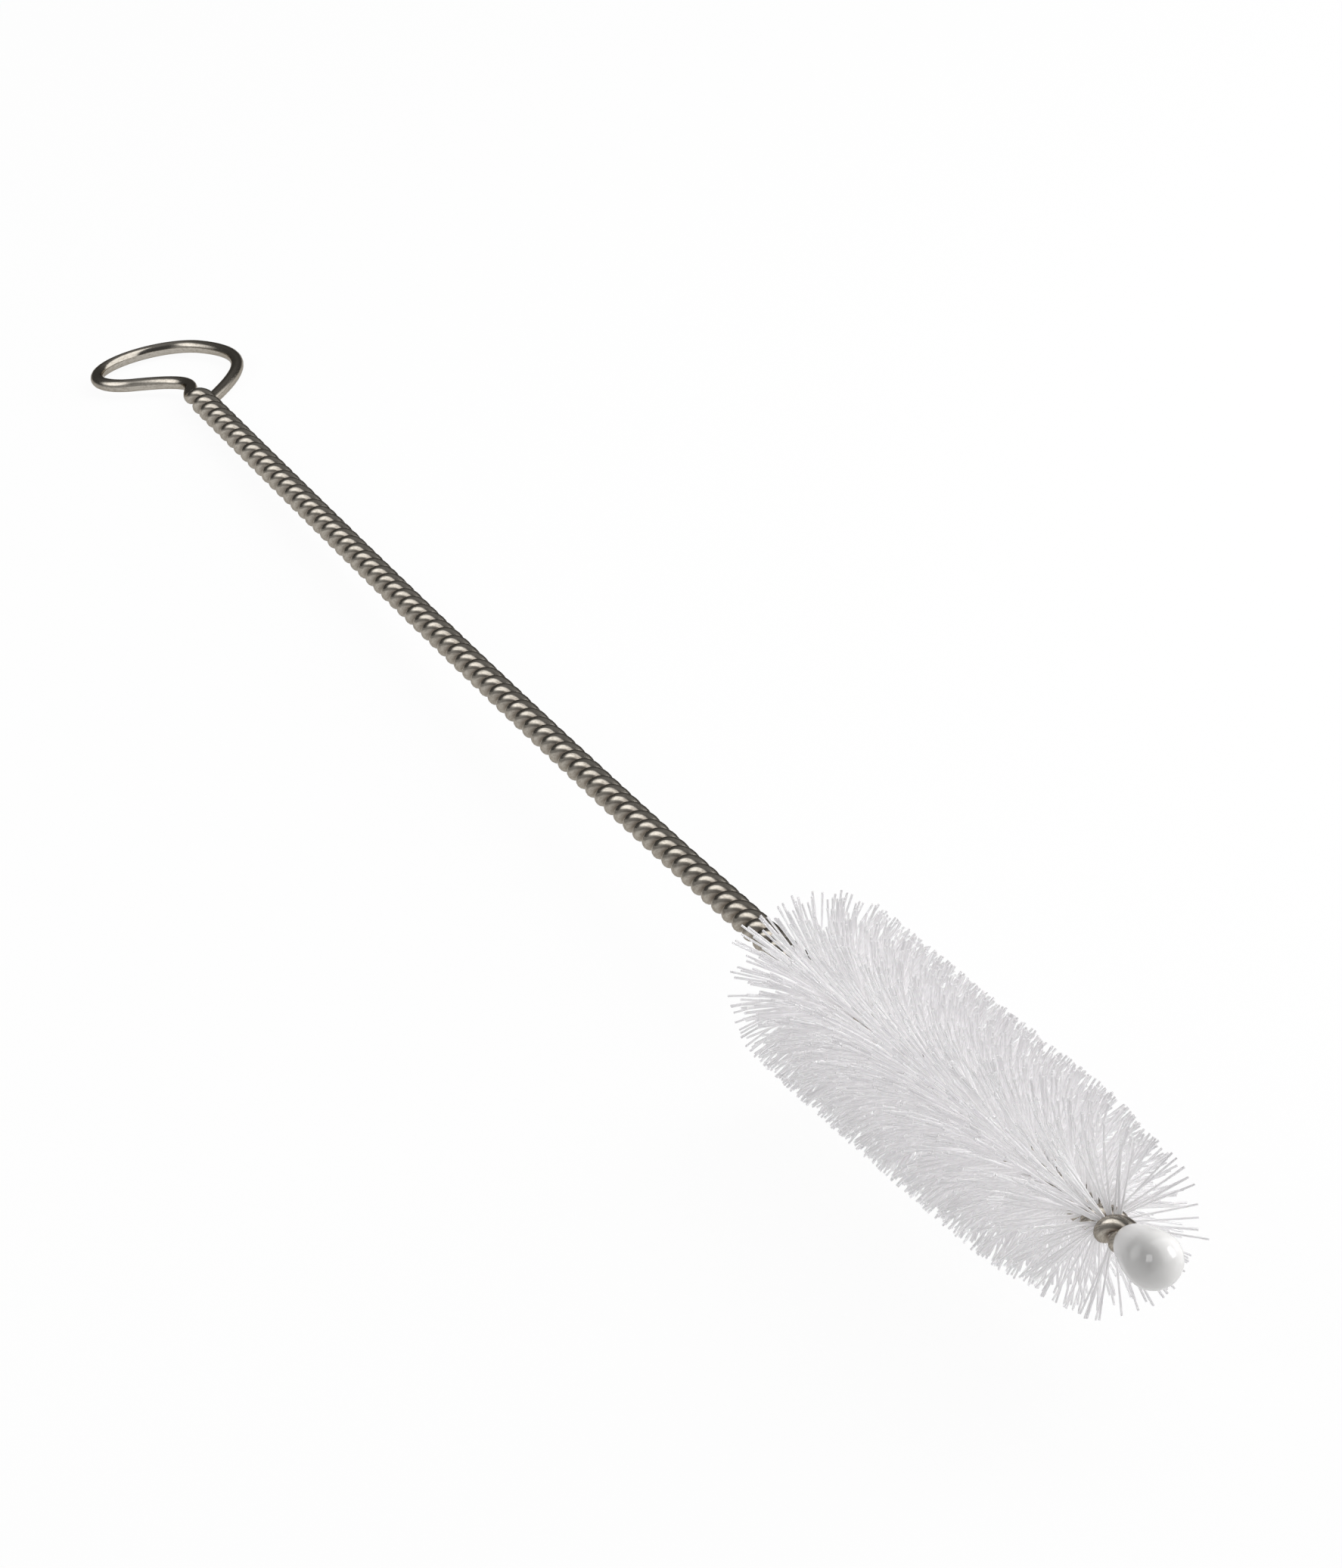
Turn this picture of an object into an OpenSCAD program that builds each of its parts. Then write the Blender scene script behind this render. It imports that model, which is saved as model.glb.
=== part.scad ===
// Bottle brush, in millimetres. One length of wire is folded into a ring eye, its two legs are
// twisted on each other into the stem, straight filaments are pinched between the two strands,
// and a moulded tip covers the cut ends. The brush lies as it rests: on its brush head and on
// the wire beside the ring, with the ring flat and the tip towards +X.

/* [Wire] */
// Thickness of the wire
wire_d = 1.6; // [1.2:0.1:2]
// Length of stem that one full turn of the two strands takes
twist_pitch = 7.5; // [6.5:0.1:10]
// Clear gap between the two strands where they hold nothing
strand_gap = 0.04; // [0.02:0.01:0.12]

/* [Ring eye] */
// Clear width of the ring
ring_bore = 13; // [11:0.5:18]
// Distance that the ring's centre lies to one side of the stem
ring_shift = 1.2; // [0:0.1:2.5]
// Length of the neck, from the round of the ring to the start of the twist
neck_length = 11.1; // [9:0.1:15]
// Angle past the stem's side at which the near leg leaves the round of the ring
near_leave = 34; // [25:1:42]
// Angle past the stem's side at which the far leg leaves it
far_leave = 119; // [100:1:125]
// How far the near leg is drawn along by the ring's curve
near_carry = 10.6; // [8:0.1:13]
// How far the near leg is drawn back by the stem's direction
near_lead = 3.5; // [2.5:0.1:6]
// How far the far leg is drawn along by the ring's curve
far_carry = 11.1; // [8:0.1:13]
// How far the far leg is drawn back by the slant on which it joins the twist
far_lead = 12; // [8:0.1:14]

/* [Stem] */
// Length of bare stem between the ring's legs and the first filament
bare_length = 273.4; // [120:0.1:400]
// Length of bare stem between the last filament and the tip
nose_length = 4.4; // [3:0.1:12]
// Height that the tip end has bent up out of the ring's plane
stem_lift = 4.1; // [0:0.1:10]
// Distance that the tip end has bent to the side
stem_sway = 3.3; // [-6:0.1:6]

/* [Bristles] */
// Length of stem that carries filaments
brush_length = 92; // [40:1:150]
// Diameter over the filament ends
brush_d = 19.2; // [12:0.1:30]
// Diameter over the foremost filament ends
brush_front_d = 17; // [10:0.1:28]
// Length over which the brush narrows towards its front
front_taper = 22; // [5:1:40]
// Thickness of one filament
filament_d = 0.28; // [0.2:0.01:0.35]
// Distance from one filament to the next along the stem
filament_step = 0.38; // [0.34:0.01:0.8]
// Gap between a pinched filament and the wire on each side of it
pinch_gap = 0.04; // [0.03:0.005:0.06]

/* [End tip] */
// Diameter of the tip at its widest
tip_d = 5.5; // [5:0.1:8]
// Length of the tip
tip_length = 8.8; // [7:0.1:14]
// Depth to which the wire ends sit in the tip
socket_depth = 3; // [2:0.1:4]
// Gap around each wire end in its socket
socket_gap = 0.03; // [0.02:0.01:0.06]
// Thickness of plastic outside the wire ends at the tip's mouth
mouth_wall = 0.1; // [0.08:0.01:0.3]

/* [Hidden] */

wire_r = wire_d / 2;
wire_sides = 6;
steps_per_turn = 7;
ring_step_angle = 12;
leg_steps = 8;

// The ring's own frame: its centre is the origin, the stem leaves along +X and the ring lies in XY.
ring_r = (ring_bore + wire_d) / 2;
bare_offset = (wire_d + strand_gap) / 2;
pinch_offset = (wire_d + filament_d) / 2 + pinch_gap;

stem_x = ring_r + neck_length;
brush_x = stem_x + bare_length;
brush_end_x = brush_x + brush_length;
tip_x = brush_end_x + nose_length;
stem_length = tip_x - stem_x;
twist_ease = twist_pitch / 5;
spread_ease = twist_pitch / 2;
// Here the twist has made a quarter turn, and the far leg joins it from below
join_x = stem_x + twist_pitch / 4 + twist_ease / 2;

// --- The stem's slight bend ---------------------------------------------------------------

// How far along the stem x lies, from 0 at the ring's legs to 1 at the tip
function along(x) = max(0, (x - stem_x) / stem_length);
// Sideways and upward slope of the stem at x
function slope(x) = 3 * pow(along(x), 2) / stem_length * [stem_sway, stem_lift];
// A point of the straight brush, carried to its place on the bent one
function bent(p) = let (s = slope(p.x), u = pow(along(p.x), 3))
    [p.x - p.y * s[0] - p.z * s[1], p.y + stem_sway * u, p.z + stem_lift * u];
function bent_direction(v, x) = let (s = slope(x)) [v.x - v.y * s[0] - v.z * s[1], v.y, v.z];

// --- The twist ----------------------------------------------------------------------------

// The part of a length l that counts as twisted at u, which starts and stops gently
function twisted(u, l, ease) =
    u < ease ? u * u / (2 * ease)
    : u < l - ease ? u - ease / 2
    : l - ease - pow(max(0, l - u), 2) / (2 * ease);
// Angle of the second strand about the stem at x: a left-hand twist
function strand_angle(x) = -360 * twisted(x - stem_x, stem_length, twist_ease) / twist_pitch;
// Share of the way from the bare stem's spacing to the pinched spacing at x
function spread(x) = max(0, min(1, (x - brush_x) / spread_ease + 1, (brush_end_x - x) / spread_ease + 1));
function strand_offset(x) = bare_offset + (pinch_offset - bare_offset) * spread(x);
// Station on a strand: its point, and the direction that points away from the stem's middle
function strand_station(x, turn) =
    let (a = strand_angle(x) + turn, out = [0, cos(a), sin(a)])
    [bent([x, 0, 0] + strand_offset(x) * out), bent_direction(out, x)];

strand_steps = round(stem_length * steps_per_turn / twist_pitch);
strand_step = stem_length / strand_steps;
strand_xs = concat([for (i = [1:strand_steps]) stem_x + strand_step * i], [tip_x + socket_depth]);

// --- The ring -----------------------------------------------------------------------------

ring_centre = [0, -ring_shift, 0];
function ring_out(angle) = [cos(angle), sin(angle), 0];
function ring_point(angle) = ring_centre + ring_r * ring_out(angle);
// Direction of the ring's curve at an angle, towards growing angles
function ring_onward(angle) = [-sin(angle), cos(angle), 0];

// A point of the smooth curve from a to d that leaves a towards b and reaches d from c
function curve(a, b, c, d, t) =
    pow(1 - t, 3) * a + 3 * pow(1 - t, 2) * t * b + 3 * (1 - t) * t * t * c + pow(t, 3) * d;

// Near leg: it lies flat beside the far one until the twist starts and lifts it over
near_end = [stem_x, -bare_offset, 0];
near_start = ring_point(-near_leave);
near_bends = [near_end - near_lead * [1, 0, 0],
              near_start + near_carry * ring_onward(-near_leave)];
near_leg = [for (i = [0:leg_steps - 1])
    let (t = i / leg_steps)
    [curve(near_end, near_bends[0], near_bends[1], near_start, t),
     (1 - t) * [0, -1, 0] + t * ring_out(-near_leave)]];

// The round of the ring, from the near leg round the back to the far leg
round_angle = 360 - far_leave - near_leave;
round_steps = ceil(round_angle / ring_step_angle);
ring_round = [for (i = [0:round_steps])
    let (a = -near_leave - round_angle * i / round_steps)
    [ring_point(a), ring_out(a)]];

// Far leg: a long slant that dips under the stem and runs straight into the twist there
far_end = [join_x, 0, -bare_offset];
far_start = ring_point(far_leave);
join_direction = [twist_pitch, -2 * PI * bare_offset, 0];
far_bends = [far_start - far_carry * ring_onward(far_leave),
             far_end - far_lead * join_direction / norm(join_direction)];
far_leg = [for (i = [1:leg_steps])
    let (t = i / leg_steps)
    [curve(far_start, far_bends[0], far_bends[1], far_end, t),
     (1 - t) * ring_out(far_leave) + t * [0, 0, -1]]];

ring_stations = concat(near_leg, ring_round, far_leg);

// --- The wire as one swept tube ------------------------------------------------------------

last_x = len(strand_xs) - 1;
wire_stations = concat(
    [for (i = [last_x:-1:0]) strand_station(strand_xs[i], 180)],
    ring_stations,
    [for (x = strand_xs) if (x > join_x + strand_step / 2) strand_station(x, 0)]);

function unit(v) = v / norm(v);
function tangent(stations, i) =
    unit(stations[min(i + 1, len(stations) - 1)][0] - stations[max(i - 1, 0)][0]);
// Corners of a tube's section, one of them turned to the outward direction
function section(stations, i, r, sides) =
    let (t = tangent(stations, i),
         out = unit(stations[i][1] - t * (t * stations[i][1])),
         across = cross(t, out))
    [for (k = [0:sides - 1])
        let (a = k * 360 / sides)
        stations[i][0] + r * (cos(a) * out + sin(a) * across)];

wire_points = [for (i = [0:len(wire_stations) - 1]) each section(wire_stations, i, wire_r, wire_sides)];

function quad(a, b, c, d) = [[a, b, c], [a, c, d]];
function tube_faces(rings, sides) = concat(
    [for (i = [0:rings - 2], k = [0:sides - 1])
        let (m = (k + 1) % sides)
        each quad(i * sides + k, (i + 1) * sides + k, (i + 1) * sides + m, i * sides + m)],
    [for (k = [1:sides - 2]) [0, k, k + 1]],
    [for (k = [1:sides - 2]) (rings - 1) * sides * [1, 1, 1] + [0, k + 1, k]]);

// --- The filaments ------------------------------------------------------------------------

// Reach of a filament from the stem's middle at x
function brush_r(x) =
    let (front = max(0, 1 - (brush_end_x - x) / front_taper))
    (brush_d + (brush_front_d - brush_d) * front) / 2;

// Filaments lie side by side as one row between the strands, and the row twists with them.
// Inside root_reach their roots are packed together; outside it each one stands free.
filament_r = filament_d / 2;
root_reach = 0.3 * wire_d;
filament_count = floor(brush_length / filament_step) + 1;
filament_start = brush_x + (brush_length - (filament_count - 1) * filament_step) / 2;
corner_angles = [210, 330, 90];
// Half-way height of a section of radius 1, which lies midway between the strands
mid_height = (sin(90) + sin(210)) / 2;
function filament_points(x) =
    let (a = strand_angle(x) + 90, lie = [0, cos(a), sin(a)], up = [0, -sin(a), cos(a)], r = brush_r(x))
    [for (reach = [r, root_reach, -root_reach, -r], c = corner_angles)
        bent([x + filament_r * cos(c), 0, 0] + reach * lie + filament_r * (sin(c) - mid_height) * up)];
bristle_points = [for (i = [0:filament_count - 1]) each filament_points(filament_start + i * filament_step)];

// Numbers of a filament's corners: three at each of its four stations, rear, front and top
function rear(i, station) = 12 * i + 3 * station;
function fore(i, station) = rear(i, station) + 1;
function crest(i, station) = rear(i, station) + 2;
function filament_faces(i, first, last) = concat(
    [for (s = [0:2]) each quad(rear(i, s), rear(i, s + 1), fore(i, s + 1), fore(i, s))],
    [for (s = last ? [0:2] : [0, 2]) each quad(fore(i, s), fore(i, s + 1), crest(i, s + 1), crest(i, s))],
    [for (s = first ? [0:2] : [0, 2]) each quad(crest(i, s), crest(i, s + 1), rear(i, s + 1), rear(i, s))],
    [[rear(i, 0), fore(i, 0), crest(i, 0)], [rear(i, 3), crest(i, 3), fore(i, 3)]]);
// The packed roots between one filament and the next
function root_faces(i) = let (n = i + 1) concat(
    quad(fore(i, 1), fore(i, 2), rear(n, 2), rear(n, 1)),
    quad(crest(i, 2), crest(i, 1), crest(n, 1), crest(n, 2)),
    quad(crest(i, 1), fore(i, 1), rear(n, 1), crest(n, 1)),
    quad(fore(i, 2), crest(i, 2), crest(n, 2), rear(n, 2)));
bristle_faces = concat(
    [for (i = [0:filament_count - 1]) each filament_faces(i, i == 0, i == filament_count - 1)],
    [for (i = [0:filament_count - 2]) each root_faces(i)]);

// --- The tip ------------------------------------------------------------------------------

tip_r = tip_d / 2;
socket_r = wire_r + socket_gap;
mouth_r = bare_offset + socket_r + mouth_wall;
nose_y = tip_length - tip_r;
flank_rise = tip_r - mouth_r;
flank_r = (pow(nose_y, 2) + pow(flank_rise, 2)) / (2 * flank_rise);

// --- How the brush comes to rest ----------------------------------------------------------

// Height of a point once the brush has tilted by angle a
function height(p, a) = p.x * sin(a) + p.z * cos(a);
function lowest(points, a) =
    let (heights = [for (p = points) height(p, a)], i = search(min(heights), heights)[0])
    points[i];
// The underside of the wire, which is the brush's foot at the ring end
wire_underside = [for (s = wire_stations) s[0] - [0, 0, wire_r]];
// The tilt at which a line from that foot just touches the filament ends
function tilt_from(foot) = max([for (p = bristle_points) atan2(foot.z - p.z, p.x - foot.x)]);
function settled(foot, rounds) =
    rounds == 0 ? tilt_from(foot) : settled(lowest(wire_underside, tilt_from(foot)), rounds - 1);
rest_tilt = settled([-ring_r, 0, -wire_r], 3);
floor_z = height(lowest(wire_underside, rest_tilt), rest_tilt);

nose_centre = bent([tip_x + nose_y, 0, 0]);
function level_x(p) = p.x * cos(rest_tilt) - p.z * sin(rest_tilt);
middle_x = (min([for (p = wire_points) level_x(p)]) + level_x(nose_centre) + tip_r) / 2;
skin_ys = [for (p = concat(wire_points, bristle_points)) p.y];
middle_y = (min(skin_ys) + max(skin_ys)) / 2;

module at_rest() {
    translate([-middle_x, -middle_y, -floor_z])
        rotate([0, -rest_tilt, 0])
            children();
}

// --- The pieces ---------------------------------------------------------------------------

// One wire: up one strand, round the ring and back down the other
module stem_wire() {
    color([0.62, 0.60, 0.56])
        at_rest()
            polyhedron(wire_points, tube_faces(len(wire_stations), wire_sides));
}

// The filaments, joined where the strands pinch their roots
module bristles() {
    color([0.90, 0.90, 0.92])
        at_rest()
            polyhedron(bristle_points, bristle_faces);
}

// Half of the tip's outline, with its mouth on the first axis and its nose up the second
module tip_outline() {
    intersection() {
        translate([tip_r - flank_r, nose_y])
            circle(flank_r);
        square([tip_r, nose_y]);
    }
    intersection() {
        translate([0, nose_y])
            circle(tip_r);
        translate([0, nose_y])
            square(tip_r);
    }
}

// The tip: a drop with a socket for the end of each strand
module end_tip() {
    s = slope(tip_x);
    color([0.93, 0.93, 0.92])
        at_rest()
            translate(bent([tip_x, 0, 0]))
                rotate([0, -atan(s[1]), atan(s[0])])
                    rotate([strand_angle(tip_x), 0, 0])
                        rotate([0, 90, 0])
                            difference() {
                                rotate_extrude($fn = 96)
                                    tip_outline();
                                for (side = [-1, 1])
                                    translate([0, side * bare_offset, -1])
                                        cylinder(r = socket_r, h = socket_depth + socket_gap + 1, $fn = 48);
                            }
}

stem_wire();
bristles();
end_tip();
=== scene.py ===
# %% [markdown]
# # A bottle brush
# The real brush has three pieces: one length of wire folded into a ring eye and twisted into a stem,
# well over a thousand nylon filaments pinched between the two strands, and a moulded tip over the cut
# ends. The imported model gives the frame: every number below is in its axes, with +X towards the tip.
# %% Load the frame
import math
import bpy
import numpy as np
from mathutils import Matrix, Vector


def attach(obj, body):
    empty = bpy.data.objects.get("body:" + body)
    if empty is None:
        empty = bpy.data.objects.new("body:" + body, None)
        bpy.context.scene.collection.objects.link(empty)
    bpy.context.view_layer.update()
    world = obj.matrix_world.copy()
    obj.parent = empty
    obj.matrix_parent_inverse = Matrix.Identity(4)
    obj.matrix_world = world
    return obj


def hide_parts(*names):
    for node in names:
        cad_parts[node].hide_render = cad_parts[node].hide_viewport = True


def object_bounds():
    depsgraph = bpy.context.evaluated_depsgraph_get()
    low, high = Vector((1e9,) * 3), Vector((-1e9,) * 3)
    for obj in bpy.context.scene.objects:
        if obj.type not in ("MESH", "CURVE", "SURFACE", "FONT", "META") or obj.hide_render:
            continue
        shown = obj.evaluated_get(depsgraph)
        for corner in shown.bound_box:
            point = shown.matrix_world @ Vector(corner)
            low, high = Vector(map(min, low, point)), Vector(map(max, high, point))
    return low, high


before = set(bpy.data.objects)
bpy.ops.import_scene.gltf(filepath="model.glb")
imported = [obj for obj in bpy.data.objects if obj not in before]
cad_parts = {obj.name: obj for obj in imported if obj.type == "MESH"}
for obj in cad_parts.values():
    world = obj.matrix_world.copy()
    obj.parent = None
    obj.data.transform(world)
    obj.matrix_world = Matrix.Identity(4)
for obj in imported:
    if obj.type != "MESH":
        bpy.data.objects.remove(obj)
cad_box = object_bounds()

MM = 0.001
print("pieces to dress:", sorted(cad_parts))
print("outer size, mm:", [round((b - a) / MM, 2) for a, b in zip(*cad_box)])

# %% [markdown]
# ## The measures of the brush
# These are the driving sizes, in millimetres, the same as the solid pieces have. All shapes follow
# from them, so a change here moves the wire, the filaments and the tip together.
# %% Driving sizes
wire_d, twist_pitch, strand_gap = 1.6, 7.5, 0.04
ring_bore, ring_shift, neck_length = 13.0, 1.2, 11.1
near_leave, far_leave = math.radians(34), math.radians(119)
near_carry, near_lead, far_carry, far_lead = 10.6, 3.5, 11.1, 12.0
bare_length, brush_length, nose_length = 273.4, 92.0, 4.4
stem_lift, stem_sway = 4.1, 3.3
brush_d, brush_front_d, front_taper, filament_d = 19.2, 17.0, 22.0, 0.28
tip_d, tip_length, socket_depth, pinch_gap, socket_gap, mouth_wall = 5.5, 8.8, 3.0, 0.04, 0.03, 0.1

wire_r, ring_r = wire_d / 2, (ring_bore + wire_d) / 2
bare_offset = (wire_d + strand_gap) / 2
pinch_offset = (wire_d + filament_d) / 2 + pinch_gap
twist_ease, spread_ease = twist_pitch / 5, twist_pitch / 2
stem_x = ring_r + neck_length
join_x = stem_x + twist_pitch / 4 + twist_ease / 2
brush_x = stem_x + bare_length
brush_end_x = brush_x + brush_length
tip_x = brush_end_x + nose_length
stem_length = tip_x - stem_x
print("stem runs from", round(stem_x, 2), "to", round(tip_x, 2), "mm ahead of the ring's middle line")

# %% [markdown]
# ## How the brush lies
# Built straight, the brush is then tilted a little about its ring end, because the head is thicker
# than the ring. The tilt and the three shifts are the ones that its solids have.
# %% From the straight brush to its place
rest_tilt = math.radians(1.31576)
middle_x, middle_y, floor_z = 194.357, 1.43479, -1.18187


def laid(points):
    """Points of the level brush, in millimetres, carried to where the brush lies, in metres."""
    p = np.atleast_2d(np.asarray(points, float))
    c, s = math.cos(rest_tilt), math.sin(rest_tilt)
    return np.c_[p[:, 0] * c - p[:, 2] * s - middle_x, p[:, 1] - middle_y,
                 p[:, 0] * s + p[:, 2] * c - floor_z] * MM


def bent(points):
    """Points along the straight stem, carried on to its slight bow."""
    p = np.atleast_2d(np.asarray(points, float))
    u = np.maximum(0, (p[:, 0] - stem_x) / stem_length)
    slope = 3 * u ** 2 / stem_length
    return np.c_[p[:, 0] - (p[:, 1] * stem_sway + p[:, 2] * stem_lift) * slope,
                 p[:, 1] + stem_sway * u ** 3, p[:, 2] + stem_lift * u ** 3]


def strand_angle(x):
    """Angle of the far strand about the stem: a left-hand twist that starts and stops gently."""
    u = np.asarray(x, float) - stem_x
    turned = np.where(u < twist_ease, u * u / (2 * twist_ease), u - twist_ease / 2)
    left = np.maximum(0, stem_length - u)
    turned = np.where(left < twist_ease, stem_length - twist_ease - left ** 2 / (2 * twist_ease), turned)
    return -2 * math.pi * turned / twist_pitch


def strand_offset(x):
    """Distance of a strand's middle from the stem's, wider where filaments lie between the two."""
    share = np.clip(np.minimum((x - brush_x) / spread_ease, (brush_end_x - x) / spread_ease) + 1, 0, 1)
    return bare_offset + (pinch_offset - bare_offset) * share


print("twist at the tip:", round(math.degrees(float(strand_angle(tip_x))) / 360, 2), "turns")

# %% [markdown]
# ## The wire's course
# A brush maker folds one wire and twists its legs together. The course is worked out as points:
# up one strand, along the near leg, round the ring, and down the far leg into the other strand.
# Each leg of the ring is a smooth curve that leaves the round along it and meets the twist along
# the strand, so that the wire never kinks.
# %% Parts of the course
points_a_turn, near_points, far_points, round_points = 22, 60, 80, 90


def smooth_leg(a, b, c, d, steps):
    """Points from a to d on the curve that leaves a towards b and reaches d from c."""
    t = np.linspace(0, 1, steps)[:, None]
    return (1 - t) ** 3 * a + 3 * (1 - t) ** 2 * t * b + 3 * (1 - t) * t * t * c + t ** 3 * d


def strand(from_x, turn):
    """One strand of the twist, from a place along the stem to its end in the tip's socket."""
    steps = int((tip_x - from_x) / twist_pitch * points_a_turn)
    x = np.append(np.linspace(from_x, tip_x, steps), tip_x + socket_depth)
    a = strand_angle(np.minimum(x, tip_x)) + turn
    r = strand_offset(x)
    return bent(np.c_[x, r * np.cos(a), r * np.sin(a)])


def ring_out(a):
    """The way out from the ring's middle at an angle."""
    return np.array([math.cos(a), math.sin(a), 0.0])


def ring_onward(a):
    """The way round the ring at an angle."""
    return np.array([-math.sin(a), math.cos(a), 0.0])


print("points in a turn of the twist:", points_a_turn)

# %% Join them into one course
ring_centre = np.array([0.0, -ring_shift, 0.0])
near_end, near_start = np.array([stem_x, -bare_offset, 0]), ring_centre + ring_r * ring_out(-near_leave)
far_end, far_start = np.array([join_x, 0, -bare_offset]), ring_centre + ring_r * ring_out(far_leave)
join_way = np.array([twist_pitch, -2 * math.pi * bare_offset, 0])
join_way /= np.linalg.norm(join_way)
near_leg = smooth_leg(near_end, near_end - np.array([near_lead, 0, 0]),
                      near_start + near_carry * ring_onward(-near_leave), near_start, near_points)
far_leg = smooth_leg(far_start, far_start - far_carry * ring_onward(far_leave),
                     far_end - far_lead * join_way, far_end, far_points)
round_angles = np.linspace(-near_leave, far_leave - 2 * math.pi, round_points)
ring_round = ring_centre + ring_r * np.c_[np.cos(round_angles), np.sin(round_angles), 0 * round_angles]
course = laid(np.vstack([strand(stem_x, math.pi)[:0:-1], near_leg[:-1], ring_round[:-1], far_leg[:-1],
                         strand(join_x, 0)]))
print("points on the course:", len(course), "wire length, mm:",
      round(float(np.linalg.norm(np.diff(course, axis=0), axis=1).sum()) / MM, 1))

# %% [markdown]
# ## The wire as a piece
# A curve with a round bevel is the natural way to make wire: it keeps its thickness in every bend.
# It is swept a fiftieth slimmer than its solid, so that it stays in the solids' box. Converted to a
# mesh it can be exported, and each point gets two things that its finish uses: its place on the wire
# as if that were pulled straight, and how deep it lies between the strands, where painted shade goes.
# %% Sweep the wire
swept_share, wire_smooth_angle = 0.98, 50


def only(piece):
    """Deselects all and makes one piece the selected, active one."""
    if bpy.context.object and bpy.context.object.mode != "OBJECT":
        bpy.ops.object.mode_set(mode="OBJECT")
    bpy.ops.object.select_all(action="DESELECT")
    piece.select_set(True)
    bpy.context.view_layer.objects.active = piece


def number_on(piece, name, values):
    """Stores one number a vertex under a name that a material can read."""
    layer = piece.data.attributes.new(name, "FLOAT", "POINT")
    layer.data.foreach_set("value", np.asarray(values, np.float32))


bpy.ops.object.select_all(action="DESELECT")
bpy.ops.curve.primitive_nurbs_path_add()
wire = bpy.context.object
wire.name = "twisted_wire"
wire.data.splines.clear()
line = wire.data.splines.new("POLY")
line.points.add(len(course) - 1)
line.points.foreach_set("co", np.c_[course, np.ones(len(course))].ravel())
wire.data.bevel_depth = wire_r * swept_share * MM
wire.data.bevel_resolution = 6
wire.data.use_fill_caps = True
only(wire)
bpy.ops.object.convert(target="MESH")
wire = bpy.context.object
bpy.ops.object.shade_smooth_by_angle(angle=math.radians(wire_smooth_angle))
spots = np.array([v.co for v in wire.data.vertices])
sides = len(spots) // len(course)
print("wire:", len(spots), "vertices,", len(wire.data.polygons), "faces,", sides, "sides")

# %% Mark each point's place on the wire
station = np.minimum(np.arange(len(spots)) // sides, len(course) - 1)
run = np.append(0, np.cumsum(np.linalg.norm(np.diff(course, axis=0), axis=1)))[station] / MM
turn = 2 * math.pi * (np.arange(len(spots)) % sides) / sides
straightened = np.c_[run, wire_r * np.cos(turn), wire_r * np.sin(turn)]
layer = wire.data.attributes.new("straightened", "FLOAT_VECTOR", "POINT")
layer.data.foreach_set("vector", straightened.astype(np.float32).ravel())

groove_start, groove_fall, stem_line_points = 2.2, 2.6, 800
stem_line_x = np.linspace(stem_x, tip_x + socket_depth, stem_line_points)
stem_line = laid(bent(np.c_[stem_line_x, 0 * stem_line_x, 0 * stem_line_x]))
beside = np.interp(spots[:, 0], stem_line[:, 0], stem_line[:, 1])
above = np.interp(spots[:, 0], stem_line[:, 0], stem_line[:, 2])
from_middle = np.hypot(spots[:, 1] - beside, spots[:, 2] - above) / MM
# Painted shade: full near the stem's middle line where the strands meet, none on their outer sides.
groove_shade = np.clip(groove_start - groove_fall * from_middle / (bare_offset + wire_r), 0, 1)
groove_shade = groove_shade * (spots[:, 0] > stem_line[0, 0])
number_on(wire, "groove_shade", groove_shade)
print("points in the groove:", int((groove_shade > 0).sum()))

# %% [markdown]
# ## One filament
# Every filament is the same piece of nylon cut from a reel: a thin rod with blunt ends. It is
# modelled once, as a six-sided rod lying along X, and cut across so that it has points to bend at.
# Its shading is smooth round the rod and sharp at the cuts, which makes the ends look sheared.
# %% Model one filament
rod_cuts = (-0.8, -0.5, -0.2, 0.0, 0.2, 0.5, 0.8)
bpy.ops.object.select_all(action="DESELECT")
bpy.ops.mesh.primitive_cylinder_add(vertices=6, radius=0.5, depth=2, rotation=(0, math.pi / 2, 0))
filament = bpy.context.object
filament.name = "filament"
bpy.ops.object.transform_apply(location=True, rotation=True, scale=True)
bpy.ops.object.mode_set(mode="EDIT")
for cut in rod_cuts:
    bpy.ops.mesh.select_all(action="SELECT")
    bpy.ops.mesh.bisect(plane_co=(cut, 0, 0), plane_no=(1, 0, 0))
bpy.ops.object.mode_set(mode="OBJECT")
rod = np.array([v.co for v in filament.data.vertices])
rod_faces = [tuple(p.vertices) for p in filament.data.polygons]
print("one filament:", len(rod), "vertices,", len(rod_faces), "faces")

# %% [markdown]
# ## The head
# The filaments are fed in side by side, and the twist winds their row into a spiral ramp. Between
# the strands each one is held across the stem, as far out as held_r. Outside that it springs a little
# its own way: it fans round the stem, leans along it and bends slightly, and the whole head is trimmed
# to a round shape. One function bends the rod to a place, so that all 1,400 are the same rod.
# %% Bend the rod to a place
shown_filament_d, held_r, fan_reach, sag_reach = 0.22, 1.5, 1.2, 8.0


def brush_r(x):
    """Reach of the trimmed filaments from the stem's middle."""
    front = np.clip(1 - (brush_end_x - x) / front_taper, 0, 1)
    return (brush_d + (brush_front_d - brush_d) * front) / 2


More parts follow.
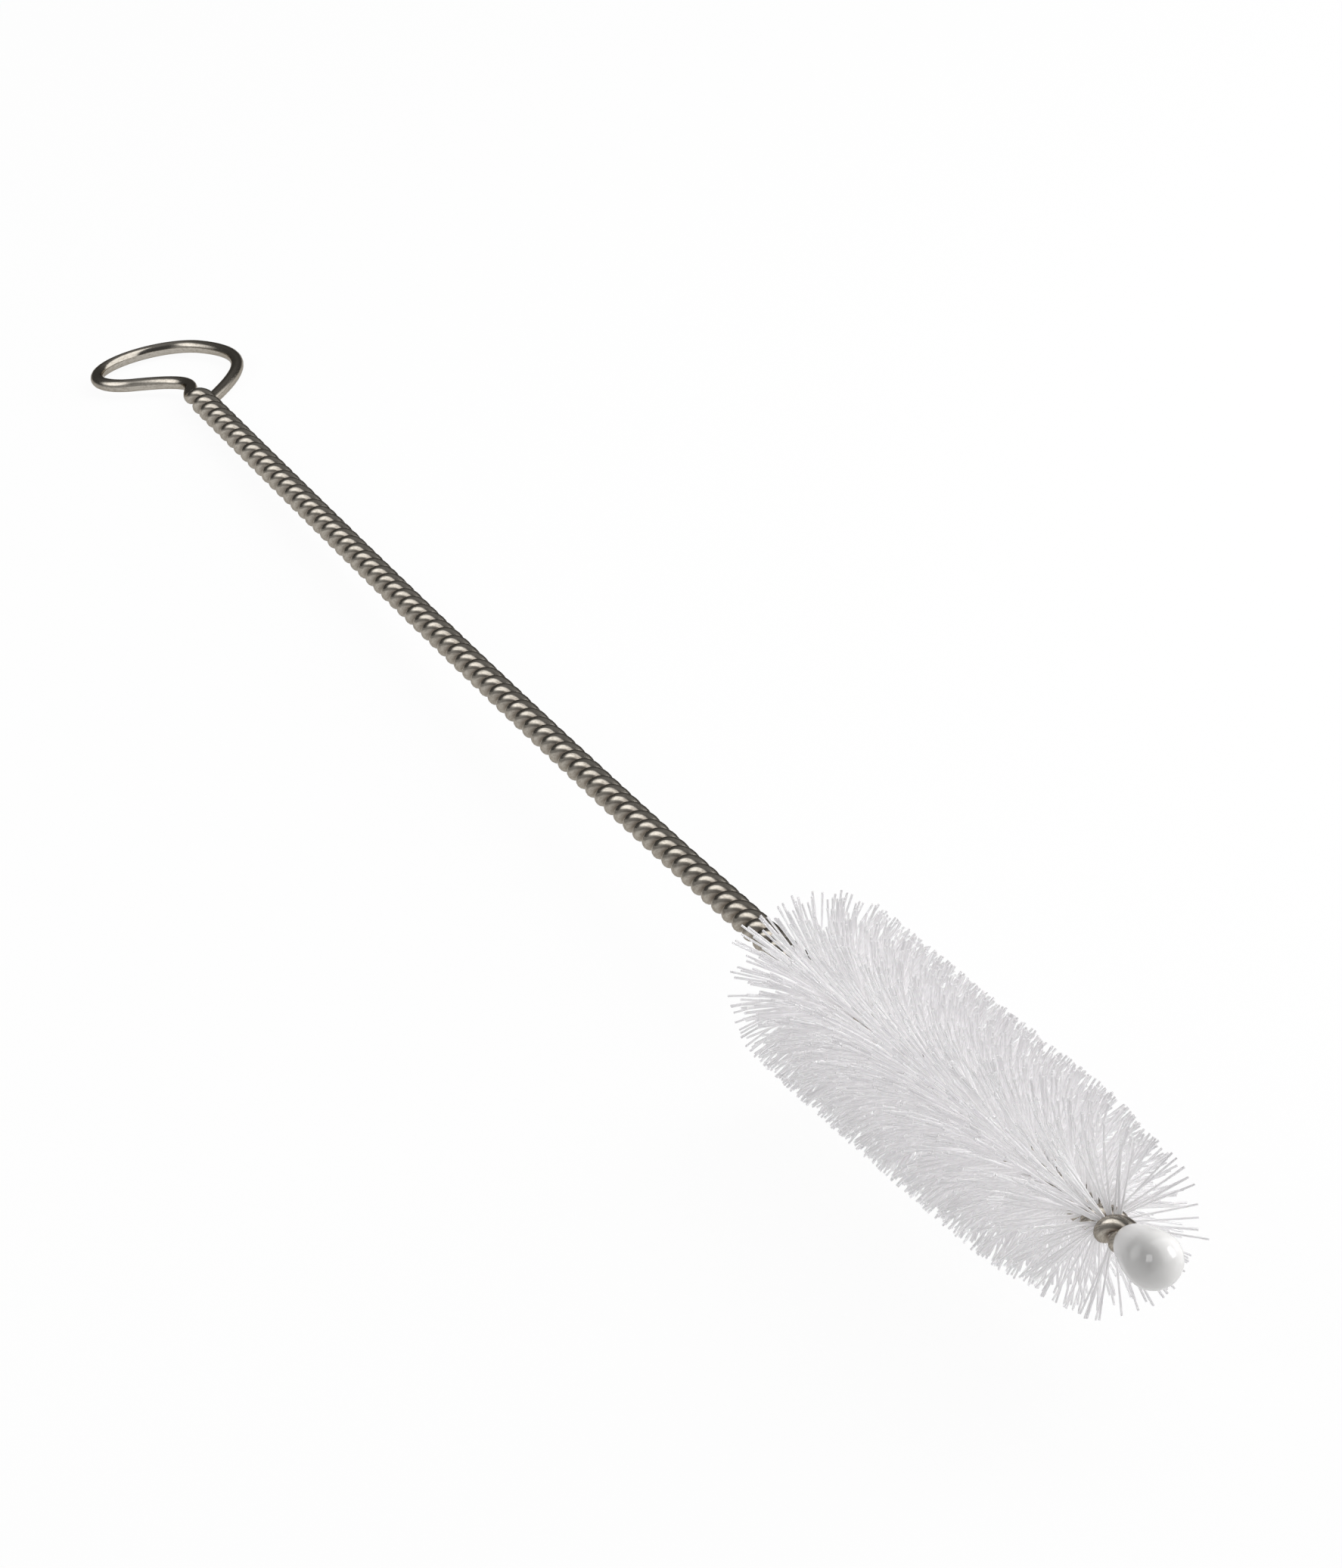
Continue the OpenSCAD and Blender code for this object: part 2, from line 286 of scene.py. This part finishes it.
def lay_filament(x, turn, reach, lean, fan, sag):
    """The rod bent to one filament's place. Both halves have their own reach, lean and fan."""
    t, half = rod[:, 0], (rod[:, 0] > 0).astype(int)
    out = np.abs(t) * reach[half]
    a = float(strand_angle(x)) + math.pi / 2 + turn + math.pi * (1 - half)
    free = np.clip(out - held_r, 0, None)
    a = a + fan[half] * free / (free + fan_reach)
    along = x + np.tan(lean[half]) * free + sag[half] * (free / sag_reach) ** 2
    lie = np.c_[0 * a, np.cos(a), np.sin(a)]
    aside = np.c_[0 * a, -np.sin(a), np.cos(a)]
    centre = np.c_[along, out * lie[:, 1], out * lie[:, 2]]
    tilt = np.tan(lean[half])[:, None]
    ahead = np.array([1.0, 0, 0]) - tilt * lie
    ahead /= np.linalg.norm(ahead, axis=1)[:, None]
    return centre + shown_filament_d * (rod[:, 2:3] * ahead + rod[:, 1:2] * aside)


print("reach at the back and at the front, mm:", brush_r(brush_x), brush_r(brush_end_x))

# %% [markdown]
# ## How the filaments differ
# Seven neighbours at a time spring the same way, and draw together a little, so they stand in loose
# clumps. On top of that each has its own small lean, fan and bend, and is cut a little long or short.
# The rows are thinner towards the front end. One filament at the very front, picked by the angle at
# which it stands, springs forward on both sides of the tip. All chance comes from one seeded source,
# so each run lays the same filaments.
# %% Feed and spread
rng = np.random.default_rng(21)
filament_count, clump, gather = 1400, 7, 0.26
clump_lean_spread, clump_fan_spread = math.radians(2.6), math.radians(3.5)
lean_spread, fan_spread, sag_spread = math.radians(2.0), math.radians(4.0), 0.55
cut_short, cut_spread, cut_spare = -0.15, 0.22, 0.02
x_spread, turn_spread = 0.12, math.radians(4)
stray_angle, stray_width, stray_zone = math.radians(153), 0.05, 3.7
stray_lean, stray_reach = np.radians([28, 24]), np.array([8.3, 8.6])
box_margin = 0.00002
head_smooth_angle = 75


def feed(share):
    """Where a filament sits along the head, from 0 to 1: the rows are thinner towards the front end."""
    return np.interp(share, (0, 0.03, 0.88, 1), (0, 0.04, 0.81, 1))


def fed_x(number):
    """Place along the stem, in millimetres, of a filament by its number."""
    return brush_x + brush_length * feed(number / filament_count)


def springs_forward(x):
    """True at the very front for a filament that stands near the stray angle. Fed as here, one does."""
    off = math.sin(float(strand_angle(x)) + math.pi / 2 - stray_angle)
    return abs(off) < stray_width and x > brush_end_x - stray_zone


print("first and last filament, mm:", [round(float(fed_x(n)), 2) for n in (0.5, filament_count - 0.5)])

# %% Lay all the filaments
places, faces, reach_share, shade = [], [], [], []
strays = 0
for i in range(filament_count):
    x = fed_x(i + 0.5)
    reach = np.minimum(brush_r(x) + rng.normal(cut_short, cut_spread, 2), brush_r(x) - cut_spare)
    if i % clump == 0:
        clump_lean = rng.normal(0, clump_lean_spread, 2)
        clump_fan = rng.normal(0, clump_fan_spread, 2)
        clump_x = fed_x(i + clump / 2)
    lean = clump_lean + rng.normal(0, lean_spread, 2)
    drawn_in = gather * float(strand_angle(clump_x) - strand_angle(x))
    fan = clump_fan + rng.normal(0, fan_spread, 2) + drawn_in
    sag = rng.normal(0, sag_spread, 2)
    if springs_forward(x):
        lean, fan, reach = stray_lean, np.zeros(2), stray_reach
        strays += 1
    fed_at, turned_by = x + rng.normal(0, x_spread), rng.normal(0, turn_spread)
    places.append(laid(bent(lay_filament(fed_at, turned_by, reach, lean, fan, sag))))
    faces += [tuple(len(rod) * i + k for k in f) for f in rod_faces]
    reach_share.append(np.abs(rod[:, 0]))
    shade.append(np.full(len(rod), rng.random()))
places = np.vstack(places)
places = np.clip(places, np.array(cad_box[0]) + box_margin, np.array(cad_box[1]) - box_margin)
print("filaments that spring forward:", strays)

# %% Make them one piece
head_mesh = bpy.data.meshes.new("nylon_filaments")
head_mesh.from_pydata(places.tolist(), [], faces)
head = bpy.data.objects.new("nylon_filaments", head_mesh)
bpy.context.scene.collection.objects.link(head)
number_on(head, "reach", np.concatenate(reach_share))
number_on(head, "shade", np.concatenate(shade))
bpy.data.objects.remove(filament)
only(head)
bpy.ops.object.shade_smooth_by_angle(angle=math.radians(head_smooth_angle))
print("head:", filament_count, "filaments,", len(places), "vertices,", len(faces), "faces")

# %% [markdown]
# ## The tip
# The moulded tip is a drop: a flank that swells from the neck and a round nose. It is drawn out
# ring by ring from a circle at its mouth, as it would be by hand, with a softened lip, and the nose
# is closed in one point. Its mouth is flat, and the two wire ends go into it. It is drawn a little
# slimmer than its solid and a hair shorter, so that it stays in the solids' box.
# %% The tip's outline
slimmer, shorter = 0.05, 0.01
tip_r = tip_d / 2 - slimmer
mouth_r = bare_offset + wire_r + socket_gap + mouth_wall
nose_end = tip_length - shorter
nose_y = nose_end - tip_r
flank_rise, flank_curve, flank_start = tip_r - mouth_r, 1.7, 0.5
lip, mouth_rim, lip_start = 0.18, 0.3, 0.35
nose_start, nose_stop = 0.1, math.pi / 2 - 0.06
tip_sides, tip_smooth_angle = 72, 40
outline = [(0.0, mouth_r - lip - mouth_rim), (0.0, mouth_r - lip)]
for a in np.linspace(lip_start, math.pi / 2, 5):
    outline.append((lip * (1 - math.cos(a)), mouth_r - lip * (1 - math.sin(a))))
for u in np.linspace(flank_start, nose_y, 14):
    outline.append((u, tip_r - flank_rise * (1 - u / nose_y) ** flank_curve))
for a in np.linspace(nose_start, nose_stop, 16):
    outline.append((nose_y + tip_r * math.sin(a), tip_r * math.cos(a)))
print("the tip's outline has", len(outline), "rings, widest", round(2 * tip_r, 2), "mm across")

# %% Draw out the tip
bpy.ops.object.select_all(action="DESELECT")
bpy.ops.mesh.primitive_circle_add(vertices=tip_sides, radius=outline[0][1], rotation=(0, math.pi / 2, 0))
tip = bpy.context.object
tip.name = "moulded_tip"
bpy.ops.object.transform_apply(location=True, rotation=True, scale=True)
bpy.ops.object.mode_set(mode="EDIT")
bpy.ops.mesh.select_all(action="SELECT")
for (u0, r0), (u1, r1) in zip(outline[:-1], outline[1:]):
    bpy.ops.mesh.extrude_region_move(TRANSFORM_OT_translate={"value": (u1 - u0, 0, 0)})
    bpy.ops.transform.resize(value=(1, r1 / r0, r1 / r0), center_override=(u1, 0, 0))
bpy.ops.mesh.extrude_region_move(TRANSFORM_OT_translate={"value": (nose_end - outline[-1][0], 0, 0)})
bpy.ops.mesh.merge(type="CENTER")
bpy.ops.mesh.select_all(action="DESELECT")
bpy.ops.mesh.select_non_manifold()
bpy.ops.mesh.fill()
bpy.ops.mesh.select_all(action="SELECT")
bpy.ops.mesh.normals_make_consistent(inside=False)
bpy.ops.object.mode_set(mode="OBJECT")
drop = np.array([v.co for v in tip.data.vertices])
print("tip before it is placed:", drop.min(0).round(3), drop.max(0).round(3))

# %% Put the tip on the end of the stem
slope = 3 / stem_length * np.array([stem_sway, stem_lift])
stand = (Matrix.Rotation(math.atan(slope[0]), 4, "Z") @ Matrix.Rotation(-math.atan(slope[1]), 4, "Y")
         @ Matrix.Rotation(float(strand_angle(tip_x)), 4, "X"))
turned = np.array([stand @ Vector(p) for p in drop]) + bent([[tip_x, 0, 0]])
tip.data.vertices.foreach_set("co", laid(turned).ravel())
tip.data.update()
only(tip)
bpy.ops.object.shade_smooth_by_angle(angle=math.radians(tip_smooth_angle))
print("tip turned with the twist by", round(math.degrees(float(strand_angle(tip_x))) % 360, 1), "degrees")

# %% [markdown]
# ## A short way to write shader maths
# A finish is a small sum of patterns. The class below holds one output of a node, so that the sum
# can be written as ordinary arithmetic, and each sign adds its Math node.
# %% Shader helpers
class Signal:
    """One output of a node, with arithmetic that adds Math nodes."""

    def __init__(self, finish, socket):
        self.finish, self.socket = finish, socket

    def maths(self, operation, *others):
        """A Math node on this output and others."""
        return self.finish.node("ShaderNodeMath", {"operation": operation}, dict(enumerate((self, *others))))

    def __add__(self, other): return self.maths("ADD", other)
    def __radd__(self, other): return self.maths("ADD", other)
    def __sub__(self, other): return self.maths("SUBTRACT", other)
    def __mul__(self, other): return self.maths("MULTIPLY", other)
    def __rmul__(self, other): return self.maths("MULTIPLY", other)
    def __rsub__(self, other): return (self * -1).maths("ADD", other)


class Finish:
    """A material, with one way to add any node to it."""

    def __init__(self, name, world=None):
        self.material = world or bpy.data.materials.new(name)
        self.material.use_nodes = True
        self.tree = self.material.node_tree
        self.surface = self.tree.nodes["Background" if world else "Principled BSDF"]

    def node(self, kind, settings=None, inputs=None, output=0):
        """Adds a node: its settings first, then the values or links of its sockets."""
        made = self.tree.nodes.new(kind)
        for name, value in (settings or {}).items():
            setattr(made, name, value)
        for key, value in (inputs or {}).items():
            if isinstance(value, Signal):
                self.tree.links.new(value.socket, made.inputs[key])
            else:
                made.inputs[key].default_value = value
        return Signal(self, made.outputs[output])

    def feed(self, **inputs):
        """Sets or links sockets of the main shader; an underscore stands for a space."""
        for key, value in inputs.items():
            socket = self.surface.inputs[key.replace("_", " ")]
            if isinstance(value, Signal):
                self.tree.links.new(value.socket, socket)
            else:
                socket.default_value = value


def attribute(finish, name, output="Fac"):
    """A number or place that was stored on the piece."""
    return finish.node("ShaderNodeAttribute", {"attribute_name": name}, output=output)


def blend(finish, share, first, second):
    """A colour between two, by a share from 0 to 1."""
    made = finish.node("ShaderNodeMix", {"data_type": "RGBA"}, output=2)
    mix = made.socket.node
    for key, value in ((0, share), (6, first), (7, second)):
        if isinstance(value, Signal):
            finish.tree.links.new(value.socket, mix.inputs[key])
        else:
            mix.inputs[key].default_value = value if key == 0 else (*value, 1)
    return made


def noise(finish, place, scale, detail, roughness=0.5):
    """Cloudy noise at a place."""
    return finish.node("ShaderNodeTexNoise", inputs={"Vector": place, "Scale": scale, "Detail": detail,
                                                     "Roughness": roughness})


def stretch(finish, place, scale):
    """A place with each of its axes scaled."""
    return finish.node("ShaderNodeMapping", inputs={"Vector": place, "Scale": scale})


# %% [markdown]
# ## Drawn wire
# The wire has been pulled through dies, so it is bright but not mirror-like: fine lines run along
# it, and its brightness changes softly over a few millimetres, with small duller stains. Between the
# strands, in the grooves of the twist, a dark brown-grey painted shade is laid on. The lines, brightness
# and stains follow the wire, because they are drawn in the place each point has on the straightened wire.
# %% Finish of the wire
metal = Finish("drawn_wire")
lay = attribute(metal, "straightened", "Vector")
lines = noise(metal, stretch(metal, lay, (0.06, 2.2, 2.2)), 6.0, 4.0, 0.6)
cloud = noise(metal, stretch(metal, lay, (0.5, 1.0, 1.0)), 0.55, 3.0, 0.55)
# The depth stored between the strands lays a dark brown-grey painted shade over the metal below.
groove_shade_share = attribute(metal, "groove_shade")
mottle = noise(metal, stretch(metal, lay, (0.7, 2.0, 2.0)), 2.6, 4.0, 0.7)
grain = metal.node("ShaderNodeMapRange", inputs={"Value": mottle, "From Min": 0.46, "From Max": 0.66})
dark_metal, light_metal, stain = (0.44, 0.41, 0.36), (0.56, 0.52, 0.46), (0.24, 0.21, 0.17)
# The first of these two colours is the painted shade between the strands.
groove_shade_colour, edge_tint = (0.12, 0.095, 0.075), (0.6, 0.57, 0.53, 1)
bright = blend(metal, cloud, dark_metal, light_metal)
bright = blend(metal, grain * 0.55, bright, stain)
groove_shaded = blend(metal, groove_shade_share, bright, groove_shade_colour)
bump = metal.node("ShaderNodeBump", inputs={"Strength": 0.12, "Distance": 0.00002, "Height": lines})
gloss = 0.10 + cloud * 0.08 + grain * 0.14
metal.feed(Base_Color=groove_shaded, Metallic=1.0, Specular_Tint=edge_tint, Roughness=gloss, Normal=bump)
print("drawn wire:", len(metal.tree.nodes), "nodes")

# %% [markdown]
# ## Nylon
# Clear nylon looks white in a bundle and like a glass rod on its own. So a filament is plain white
# near the stem and turns half to clear glass towards its outer end, except at the cut itself, which is
# cloudier. Light also passes from one filament into the next, which keeps the head bright inside. That
# takes more bounces than a render has, so a faint glow stands for it: in a dark scene it should be zero.
# %% Finish of the filaments
nylon = Finish("clear_nylon")
reach_of, shade_of = attribute(nylon, "reach"), attribute(nylon, "shade")
# The nylon's emission is a painted glow in place of light passed on from filament to filament.
nylon_ior, painted_glow = 1.53, 0.105
pale = blend(nylon, shade_of, (0.970, 0.958, 0.970), (0.995, 0.985, 0.995))
nylon.feed(Base_Color=pale, Roughness=0.30 + shade_of * 0.1, IOR=nylon_ior,
           Emission_Color=(1, 0.99, 1, 1), Emission_Strength=painted_glow)
glass = nylon.node("ShaderNodeBsdfPrincipled",
                   inputs={"Base Color": (0.98, 0.975, 0.985, 1), "Roughness": 0.12,
                           "IOR": nylon_ior, "Transmission Weight": 1.0})
outer = nylon.node("ShaderNodeMapRange", {"interpolation_type": "SMOOTHSTEP"},
                   {"Value": reach_of, "From Min": 0.55, "From Max": 0.95, "To Min": 0.0, "To Max": 0.5})
cut_end = ((reach_of - 0.985) * 100).maths("MINIMUM", 1.0).maths("MAXIMUM", 0.0)
clear = outer * (1 - cut_end * 0.4)
nylon_mix = nylon.node("ShaderNodeMixShader",
                       inputs={0: clear, 1: Signal(nylon, nylon.surface.outputs[0]), 2: glass})
nylon.tree.links.new(nylon_mix.socket, nylon.tree.nodes["Material Output"].inputs["Surface"])
print("clear nylon:", len(nylon.tree.nodes), "nodes")

# %% [markdown]
# ## Moulded plastic
# The tip is glossy white plastic straight from a polished mould. A faint unevenness in its gloss and
# a very shallow waviness keep its reflections from looking drawn.
# %% Finish of the tip
plastic = Finish("white_plastic")
spot = plastic.node("ShaderNodeTexCoord", output="Object")
waves, fine = noise(plastic, spot, 350.0, 2.0), noise(plastic, spot, 2500.0, 2.0)
skin = blend(plastic, waves, (0.73, 0.722, 0.712), (0.77, 0.762, 0.752))
ripple = plastic.node("ShaderNodeBump", inputs={"Strength": 0.15, "Distance": 0.00004, "Height": waves})
plastic.feed(Base_Color=skin, Roughness=0.04 + fine * 0.05, Normal=ripple, IOR=1.5)
print("white plastic:", len(plastic.tree.nodes), "nodes")

# %% [markdown]
# ## Dressing the frame
# Each piece gets its finish, rides on the brush's one body and takes the place of its plain solid.
# %% Put the pieces on the frame
for piece, finish, node, slot in ((wire, metal, "stem_wire", "wire"), (head, nylon, "bristles", "nylon"),
                                  (tip, plastic, "end_tip", "tip")):
    piece.data.materials.clear()
    piece.data.materials.append(finish.material)
    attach(piece, "root")
    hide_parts(node)
    print(piece.name, "stands for", node)

# %% [markdown]
# ## The set
# A plain pale floor and a white surrounding: the camera sees both as white, and so do rays that have
# passed through the nylon. Bright wire shows all that stands round it, and in an all-white room it
# would look flat. So mirrored rays don't see the white. They see the walls of a small studio, dim with
# four brighter patches, and a floor whose glow falls off on both sides of the brush.
# %% Two helpers for directions
def facing(finish, way, direction, start, end):
    """Rises smoothly from 0 to 1 as a ray turns towards a direction; start and end are cosines."""
    towards = finish.node("ShaderNodeVectorMath", {"operation": "DOT_PRODUCT"},
                          {0: way, 1: Vector(direction).normalized()}, output="Value")
    return finish.node("ShaderNodeMapRange", {"interpolation_type": "SMOOTHSTEP"},
                       {"Value": towards, "From Min": start, "From Max": end})


def heading(azimuth, elevation):
    """A direction given by its azimuth from +X towards +Y, and its elevation, in degrees."""
    a, e = math.radians(azimuth), math.radians(elevation)
    return (math.cos(a) * math.cos(e), math.sin(a) * math.cos(e), math.sin(e))


print("a patch of wall 36 degrees up:", [round(v, 2) for v in heading(-108, 36)])

# %% The floor
paper_white, near_brush, far_from_brush = 0.94, 0.85, 0.32
bpy.ops.object.select_all(action="DESELECT")
bpy.ops.mesh.primitive_plane_add(size=8)
floor = bpy.context.object
floor.name = "floor"
paper = Finish("pale_floor")
paper.feed(Base_Color=(0.92, 0.92, 0.92, 1), Roughness=0.9)
seen = paper.node("ShaderNodeLightPath", output="Is Camera Ray")
mirrored = paper.node("ShaderNodeLightPath", output="Is Glossy Ray")
through = paper.node("ShaderNodeLightPath", output="Is Transmission Ray")
shown = (seen + mirrored + through).maths("MINIMUM", 1.0) * paper_white
floor_place = paper.node("ShaderNodeTexCoord", output="Object")
to_the_side = paper.node("ShaderNodeSeparateXYZ", inputs={"Vector": floor_place}, output="Y")
fall_off = paper.node("ShaderNodeMapRange", {"interpolation_type": "SMOOTHSTEP"},
                      {"Value": to_the_side.maths("ABSOLUTE"), "From Min": 0.008, "From Max": 0.026,
                       "To Min": near_brush, "To Max": far_from_brush})
glow_level = 1 - mirrored * (1 - fall_off)
glow = paper.node("ShaderNodeEmission", inputs={"Color": (1, 1, 1, 1), "Strength": glow_level})
mixed = paper.node("ShaderNodeMixShader",
                   inputs={0: shown, 1: Signal(paper, paper.surface.outputs[0]), 2: glow})
paper.tree.links.new(mixed.socket, paper.tree.nodes["Material Output"].inputs["Surface"])
floor.data.materials.append(paper.material)
print("floor:", [round(v, 1) for v in floor.dimensions], "m")

# %% The surrounding
dim_wall, even_light = 0.085, 0.245
world = bpy.data.worlds.new("studio")
bpy.context.scene.world = world
world.use_nodes = True
studio = Finish("studio", world)
way = studio.node("ShaderNodeTexCoord", output="Generated")
level_way = studio.node("ShaderNodeVectorMath", {"operation": "MULTIPLY"}, {0: way, 1: (1, 1, 0)})
level_way = studio.node("ShaderNodeVectorMath", {"operation": "NORMALIZE"}, {0: level_way})
walls = (dim_wall + facing(studio, level_way, heading(72, 0), 0.62, 0.74) * 1.6
         + facing(studio, way, heading(-108, 36), 0.86, 0.985) * 1.7
         + facing(studio, way, heading(-88, 8), 0.72, 0.97) * 0.38
         + facing(studio, way, (-0.3, 0.2, 1), 0.55, 0.98) * 0.16)
camera_sees = studio.node("ShaderNodeLightPath", output="Is Camera Ray")
nylon_sees = studio.node("ShaderNodeLightPath", output="Is Transmission Ray")
wire_sees = studio.node("ShaderNodeLightPath", output="Is Glossy Ray")
white = (camera_sees + nylon_sees).maths("MINIMUM", 1.0)
around = wire_sees * walls + (1 - wire_sees) * even_light
level = around + white * (1 - around)
tone = studio.node("ShaderNodeCombineColor", inputs={0: level, 1: level, 2: level})
studio.tree.links.new(tone.socket, studio.surface.inputs["Color"])
print("surrounding:", len(studio.tree.nodes), "nodes")

# %% [markdown]
# ## The lamps
# Three soft lamps light the whole brush and don't show in the wire. Two more, the windows, shine on
# the tip alone and make the two bright panes that its gloss mirrors. The far one also lights the tip's
# right side. It is an ellipse with the power of a whole rectangle, so it is brighter than its level.
# %% Plain lamps
def soft_box(name, middle, towards, width, height, level):
    """A lamp with a wide even face, given by its middle, the point it faces and how bright it looks."""
    bpy.ops.object.light_add(type="AREA", location=middle)
    made = bpy.context.object
    made.name = name
    made.data.shape, made.data.size, made.data.size_y = "RECTANGLE", width, height
    made.data.energy = level * math.pi * width * height
    made.rotation_euler = (Vector(middle) - Vector(towards)).to_track_quat("Z", "Y").to_euler()
    return made


for name, middle, towards, width, height, level in (
        ("right_box", (0.08, 0.42, 0.28), (0.20, 0, 0.02), 0.5, 0.4, 3.6),
        ("left_box", heading(-106, 38), (0, 0, 0), 0.42, 0.42, 4.4),
        ("fill", (-0.5, 0.4, 0.85), (0.05, 0, 0), 0.9, 0.9, 1.5)):
    soft_box(name, middle, towards, width, height, level).visible_glossy = False
    print(name, "level", level)

# %% Windows for the tip
tip_only = bpy.data.collections.new("tip_only")
tip_only.objects.link(tip)
tip_place, window_distance = (0.2, 0, 0.02), 0.9
for name, azimuth, elevation, width, height, level in (("window", -32, 31, 0.38, 0.42, 3.8),
                                                       ("far_window", 72, 15, 0.40, 0.62, 5.5)):
    middle = Vector(heading(azimuth, elevation)) * window_distance + Vector(tip_place)
    pane = soft_box(name, middle, tip_place, width, height, level)
    pane.light_linking.receiver_collection = tip_only
    pane.visible_diffuse = name == "far_window"
    pane.data.shape = "ELLIPSE" if name == "far_window" else "RECTANGLE"
    print(name, "level", level)

# %% [markdown]
# ## The camera
# The brush is seen from its tip end with a long lens, from about 19 degrees up, so that the head is
# large and the ring small behind it.
# %% Camera
focal_pixels, frame_height_pixels, sensor_height = 13979.5, 2072, 36
camera = bpy.data.objects.new("camera", bpy.data.cameras.new("camera"))
bpy.context.scene.collection.objects.link(camera)
right, up, back = ((0.2618, 0.9462, -0.1903), (-0.2693, 0.2610, 0.9270), (0.9268, -0.1914, 0.3232))
camera.matrix_world = Matrix((right, up, back)).transposed().to_4x4()
camera.location = Vector((1032.56, -203.62, 359.26)) * MM
camera.data.sensor_width = sensor_height
camera.data.lens = focal_pixels / frame_height_pixels * sensor_height
camera.data.clip_start, camera.data.clip_end = 0.05, 20
bpy.context.scene.camera = camera
bpy.context.scene.view_settings.view_transform = "Standard"
print("lens, mm:", round(camera.data.lens, 1))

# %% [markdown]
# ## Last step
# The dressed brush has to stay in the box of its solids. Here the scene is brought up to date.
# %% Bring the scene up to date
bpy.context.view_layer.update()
